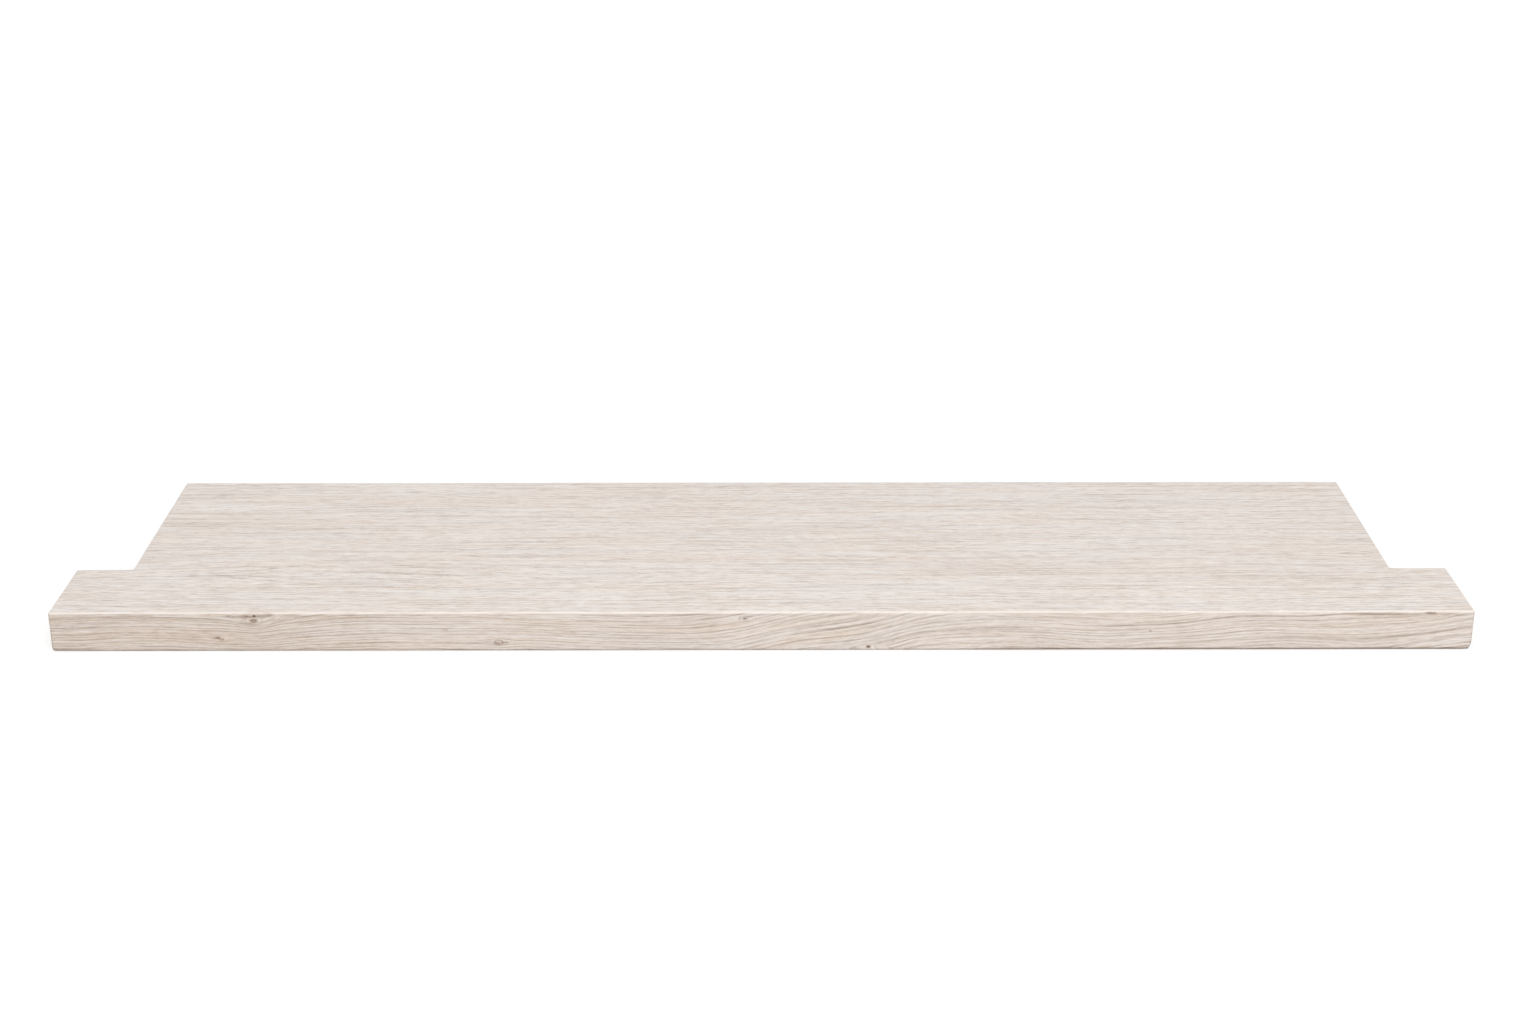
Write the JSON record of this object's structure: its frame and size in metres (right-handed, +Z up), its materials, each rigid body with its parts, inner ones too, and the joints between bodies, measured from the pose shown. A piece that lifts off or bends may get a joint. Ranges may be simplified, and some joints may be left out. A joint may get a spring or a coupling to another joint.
{
  "type": "window sill board",
  "caption": "Flat one-piece timber window sill board with a notched ear at each end, eased edges and a limed oak finish.",
  "frame": {"origin": "middle of the underside: midway along the length and midway between the front face and the rear edge", "axes": "+X along the board's length, to the right as seen from the room; +Y from the front face towards the window; +Z up, out of the top face"},
  "size_m": [1, 0.25, 0.03],
  "materials": {
    "limed_oak": "limed, brushed oak with a matt clear coat, grain along the length"
  },
  "bodies": {
    "root": {"sill_board": "limed_oak"}
  },
  "joints": []
}
